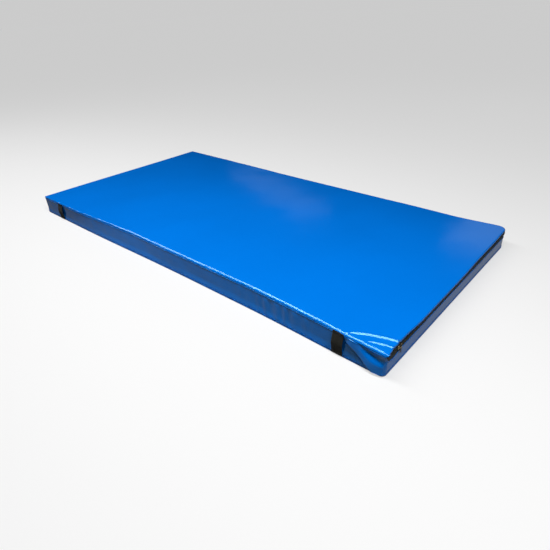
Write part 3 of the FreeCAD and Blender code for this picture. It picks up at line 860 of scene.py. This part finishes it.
# ---------- stitches
# Points of a stitch: its share of the length from the middle, and how far it stands out in mm
STITCH_SHAPE = np.array(((-0.5, -0.55), (-0.36, 0.05), (0.0, 0.28), (0.36, 0.05), (0.5, -0.55)))
STITCH_THICKNESS = np.array((0.7, 1.0, 1.1, 1.0, 0.7))
STITCH_LEAN, HANDLE_MARGIN = 0.25 * MM, 3 * MM
SEAM_PITCH, SEAM_STITCH = 4.4 * MM, 3.7 * MM
ZIP_PITCH, ZIP_STITCH = 3.2 * MM, 2.7 * MM


def stitches(distances, z, inset, length):
    """Stitches centred at these distances; each dips into the cloth at both ends and leans a little."""
    paths, upright = [], []
    for along, lift in STITCH_SHAPE:
        points, normals = place(distances + along * length)
        out = lift * MM - inset
        height = z + along * STITCH_LEAN
        paths.append(np.column_stack((points + out * normals, np.broadcast_to(height, len(points)))))
        upright.append(np.column_stack((normals, np.zeros(len(points)))))
    return np.stack(paths, axis=1), np.stack(upright, axis=1)


def stitch_piece(name, node, material, groups, radius):
    paths, upright = (np.concatenate(parts) for parts in zip(*groups))
    finish_piece(tubes(name, settle(paths), radius * STITCH_THICKNESS, upright), node, material)


def clear_of_handles(distances):
    points, _ = place(distances)
    kept = np.ones(len(distances), bool)
    for node in HANDLE_NODES:
        low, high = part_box(node)
        same_side = np.sign(points[:, 1]) == np.sign((low.y + high.y) / 2)
        on_long_side = np.abs(points[:, 1]) > HALF_W - MM
        behind = (points[:, 0] > low.x - HANDLE_MARGIN) & (points[:, 0] < high.x + HANDLE_MARGIN)
        kept &= ~(behind & same_side & on_long_side)
    return distances[kept]


def seam_stitches():
    top = np.arange(ZIP_END + 4 * MM, PERIMETER + BAND_START - 4 * MM, SEAM_PITCH)
    bottom = np.arange(0, PERIMETER - SEAM_PITCH / 2, SEAM_PITCH)
    for name, seam, z, inset in (("top", top, HEIGHT - GROOVE_DEPTH, GROOVE_INSET),
                                 ("bottom", bottom, BASE_GROOVE_HEIGHT, BASE_GROOVE_INSET)):
        stitch_piece(name + "_stitches", name + "_seam_thread", BLUE_THREAD,
                     [stitches(clear_of_handles(seam), z, inset, SEAM_STITCH)], 0.30 * MM)


def zipper_stitches():
    line = np.arange(BAND_START + 3 * MM, ZIP_END - 3 * MM, ZIP_PITCH)
    low = band_low(line)
    over_zip = GROOVE_DEPTH * zip_hem(place(line)[0])
    paths, upright = stitches(line, HEIGHT - over_zip, ZIP_WALL_INSET, ZIP_STITCH)
    paths[..., 0] += END_BULGE * mid_end(paths)
    groups = [(paths, upright)]
    groups += [stitches(line, low - drop * MM, inset * MM, ZIP_STITCH) for drop, inset in ((2.1, 0.4), (4.3, 0.5))]
    stitch_piece("zipper_stitches", "zipper_seam_thread", BLUE_THREAD, groups, 0.24 * MM)


def corner_stitches():
    """Upright seams where the strips of the wall join."""
    heights = np.arange(BOTTOM_LAP_Z + 4 * MM, TOP_LAP_Z - 3 * MM, SEAM_PITCH)
    seams = (BACK_LEFT_ARC_END + 3 * MM, PERIMETER + FRONT_LEFT_ARC - 3 * MM,
             BAND_START - 3 * MM, ZIP_END + 2.5 * MM)
    out = STITCH_SHAPE[:, 1] * MM - WALL_INSET
    paths, upright = [], []
    for point, normal in zip(*place(seams)):
        for z in heights:
            paths.append(np.column_stack((point + out[:, None] * normal, z + STITCH_SHAPE[:, 0] * SEAM_STITCH)))
            upright.append(np.tile((*normal, 0.0), (len(out), 1)))
    stitch_piece("corner_stitches", "corner_seam_thread", BLUE_THREAD,
                 [(np.array(paths), np.array(upright))], 0.28 * MM)


# ---------- the handles
WEBBING_THICKNESS = 1.6 * MM
YARN = 2.2 * MM             # width of one ridge of the weave
WEAVE = 0.16 * MM
HANDLE_GAP = 6.5 * MM
TACK_LENGTH = 8.5 * MM
TACK_SIDE, TACK_NEAR, TACK_FAR = 3 * MM, 1.3 * MM, 7.8 * MM     # its box, from the webbing's sides and end
TACK_PITCH = 2.6 * MM
RELIEF_STEP = 0.55 * MM
PINCH, PINCH_WIDTH = 0.75, 0.45 * MM        # how much thinner the webbing is at its edges
CLEARANCE = 0.35 * MM


def webbing_gap(z, low, high):
    """How far the webbing stands off the wall at a height: sewn flat at both ends, bowed between."""
    share = np.clip((z - low - TACK_LENGTH) / (high - low - 2 * TACK_LENGTH), 0, 1)
    return HANDLE_GAP * np.sin(np.pi * share) ** 1.3


def webbing(node, name):
    """A strap of woven webbing that bows off the wall between its sewn ends."""
    low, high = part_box(node)
    side = np.sign(low.y + high.y)
    z = np.arange(high.z, low.z, -RELIEF_STEP)
    across = np.linspace(low.x, high.x, int((high.x - low.x) / RELIEF_STEP) + 1)
    gap = webbing_gap(z, low.z, high.z)
    slope = np.gradient(gap, z)
    length = np.concatenate(([0], np.cumsum(np.hypot(np.diff(gap), np.diff(z)))))
    lean = 1 / np.hypot(1, slope)
    u, v = np.meshgrid(across - low.x, length)
    column = np.floor(u / YARN)
    weave = WEAVE * np.abs(np.sin(np.pi * u / YARN)) ** 0.6 * (0.45 + 0.55 * np.cos(
        2 * np.pi * v / YARN + np.pi * column))
    thick = (WEBBING_THICKNESS / 2 + weave) * (1 - PINCH * np.exp(-np.minimum(u, u[:, ::-1]) / PINCH_WIDTH))
    middle = HALF_W + gap + WEBBING_THICKNESS / 2 + CLEARANCE
    skins = []
    for half in (thick, -thick):
        out = middle[:, None] + half * lean[:, None]
        height = z[:, None] - half * (slope * lean)[:, None]
        skins.append(np.stack((np.broadcast_to(across, half.shape), side * out, height), axis=-1))
    rows = np.concatenate((skins[0], skins[1][:, ::-1]), axis=1)
    faces = capped_faces(*rows.shape[:2])
    if side > 0:
        faces = [f[::-1] for f in faces]
    finish_piece(new_object(name, settle(rows), faces), node, WEBBING)


def tack_lines(node):
    """The box and cross sewn at each end of a handle, as straight lines from (x, z) to (x, z)."""
    low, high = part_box(node)
    left, right = low.x + TACK_SIDE, high.x - TACK_SIDE
    lines = []
    for bottom, top in ((low.z + TACK_NEAR, low.z + TACK_FAR), (high.z - TACK_FAR, high.z - TACK_NEAR)):
        corners = ((left, bottom), (right, bottom), (right, top), (left, top))
        lines += [(corners[i], corners[(i + 1) % 4]) for i in range(4)]
        lines += [(corners[0], corners[2]), (corners[1], corners[3])]
    return np.array(lines)


def handle_tacks():
    paths, upright = [], []
    for node in HANDLE_NODES:
        low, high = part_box(node)
        side = np.sign(low.y + high.y)
        for start, end in tack_lines(node):
            count = max(2, int(round(np.linalg.norm(end - start) / TACK_PITCH)))
            for k in range(count):
                share = (k + 0.5 + STITCH_SHAPE[:, 0] * 0.85) / count
                spots = start + share[:, None] * (end - start)
                gap = webbing_gap(spots[:, 1], low.z, high.z)
                out = HALF_W + gap + WEBBING_THICKNESS + (0.45 + 0.75 * STITCH_SHAPE[:, 1]) * MM
                paths.append(np.column_stack((spots[:, 0], side * out, spots[:, 1])))
                upright.append(np.tile((0.0, side, 0.0), (len(share), 1)))
    stitch_piece("handle_tacks", "handle_stitching", BLACK_THREAD,
                 [(np.array(paths), np.array(upright))], 0.26 * MM)


def handles():
    for node in HANDLE_NODES:
        webbing(node, node.replace("handle_", "webbing_"))
    handle_tacks()


# ---------- camera, stage and light
CAMERA_PLACE = (1.4055, -1.3760, 0.9101)
CAMERA_YAW, CAMERA_PITCH, CAMERA_ROLL = math.radians(-42.345), math.radians(31.162), math.radians(-2.669)
CAMERA_LENS = 29.51


def camera():
    reach = math.cos(CAMERA_PITCH)
    ahead = Vector((math.sin(CAMERA_YAW) * reach, math.cos(CAMERA_YAW) * reach, -math.sin(CAMERA_PITCH)))
    level = ahead.cross(Vector((0, 0, 1))).normalized()
    upright = level.cross(ahead)
    right = math.cos(CAMERA_ROLL) * level + math.sin(CAMERA_ROLL) * upright
    up = math.cos(CAMERA_ROLL) * upright - math.sin(CAMERA_ROLL) * level
    data = bpy.data.cameras.new("camera")
    data.sensor_width = 36.0
    data.lens = CAMERA_LENS
    data.clip_start = 0.01
    data.clip_end = 200.0
    holder = bpy.data.objects.new("camera", data)
    turn = Matrix((right, up, -ahead)).transposed()
    holder.matrix_world = Matrix.Translation(CAMERA_PLACE) @ turn.to_4x4()
    bpy.context.scene.collection.objects.link(holder)
    bpy.context.scene.camera = holder
    bpy.context.scene.view_settings.view_transform = "Standard"


def area_light(name, place, size, power, turn=0.0):
    """A level panel of light, facing down."""
    data = bpy.data.lights.new(name, "AREA")
    data.shape = "RECTANGLE"
    data.size, data.size_y = size
    data.energy = power
    holder = bpy.data.objects.new(name, data)
    holder.location = place
    holder.rotation_euler.z = math.radians(turn)
    bpy.context.scene.collection.objects.link(holder)


FLOOR_BOUNCE, FLOOR_SHOWN = 0.12, 0.30      # the floor's colour as the mat meets it, and as the camera does
BACKDROP, AMBIENT = 0.60, 0.004     # the glow of the floor and the air, to the camera, and of the air to the mat
FLOOR_IN_GLOSS = 0.30               # the floor's glow to the mat's gloss
GLOSS_DIM, GLOSS_DIM_X = 0.45, (-0.85, -0.50)       # dimmed to this share on the left, over this stretch of x
FLOOR_HALF, FLOOR_DROP = 40, 0.2 * MM


def by_ray(tree, kind, otherwise, seen):
    """One value where a ray of this kind meets the stage, another where any other ray does."""
    ray = add_node(tree, "LightPath", {}).outputs[kind]
    return add_node(tree, "MapRange", {"Value": ray, "To Min": otherwise, "To Max": seen}).outputs["Result"]


def stage():
    """A pale floor and backdrop. The mat's gloss meets a darker studio than the one in view."""
    corners = [(sx * FLOOR_HALF, sy * FLOOR_HALF, 0) for sx, sy, _ in CORNERS]
    floor = new_object("floor", corners, [(0, 1, 2, 3)])
    floor.location.z = -FLOOR_DROP
    paint = bpy.data.materials.new("floor_pale")
    paint.use_nodes = True
    tree = paint.node_tree
    tree.nodes.clear()
    across = add_node(tree, "SeparateXYZ", {0: add_node(tree, "TexCoord", {}).outputs["Object"]}).outputs["X"]
    dimmer = {"Value": across, "From Min": GLOSS_DIM_X[0], "From Max": GLOSS_DIM_X[1], "To Min": GLOSS_DIM}
    dimmer = add_node(tree, "MapRange", dimmer).outputs["Result"]
    in_gloss = by_ray(tree, "Is Glossy Ray", 0.0, FLOOR_IN_GLOSS)
    in_gloss = add_node(tree, "Math", {0: in_gloss, 1: dimmer}, operation="MULTIPLY").outputs[0]
    in_view = by_ray(tree, "Is Camera Ray", 0.0, BACKDROP)
    light = add_node(tree, "Math", {0: in_view, 1: in_gloss}, operation="ADD").outputs[0]
    glow = add_node(tree, "Emission", {"Strength": light}).outputs[0]
    colour = by_ray(tree, "Is Camera Ray", FLOOR_BOUNCE, FLOOR_SHOWN)
    diffuse = add_node(tree, "BsdfDiffuse", {"Color": colour}).outputs[0]
    both = add_node(tree, "AddShader", {0: diffuse, 1: glow}).outputs[0]
    add_node(tree, "OutputMaterial", {"Surface": both})
    floor.data.materials.append(paint)

    world = bpy.data.worlds.new("studio")
    world.use_nodes = True
    tree = world.node_tree
    background = tree.nodes["Background"]
    background.inputs["Color"].default_value = (1, 1, 1, 1)
    tree.links.new(by_ray(tree, "Is Camera Ray", AMBIENT, BACKDROP), background.inputs["Strength"])
    bpy.context.scene.world = world


def lights():
    """A long strip in two parts over the front side, and two cards whose reflections lie on the top."""
    area_light("overhead", (0.9, -0.65, 2.0), (3.8, 0.42), 71)
    area_light("overhead_left", (-2.15, -0.65, 2.0), (2.3, 0.42), 25)
    area_light("back_card", (-2.41, 2.88, 1.35), (2.15, 0.5), 0.57, turn=-20.6)
    area_light("corner_card", (0.25, 3.28, 1.4), (0.6, 1.1), 0.85)


camera()
stage()
lights()
foam_block()
top_cover()
base_cover()
side_walls()
end_wall()
zipper()
seam_stitches()
zipper_stitches()
corner_stitches()
handles()

for node, material in (("slider_body", BRASS), ("pull_tab", TAB_PAINT)):
    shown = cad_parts[node]
    shown.data.materials.clear()
    shown.data.materials.append(material)
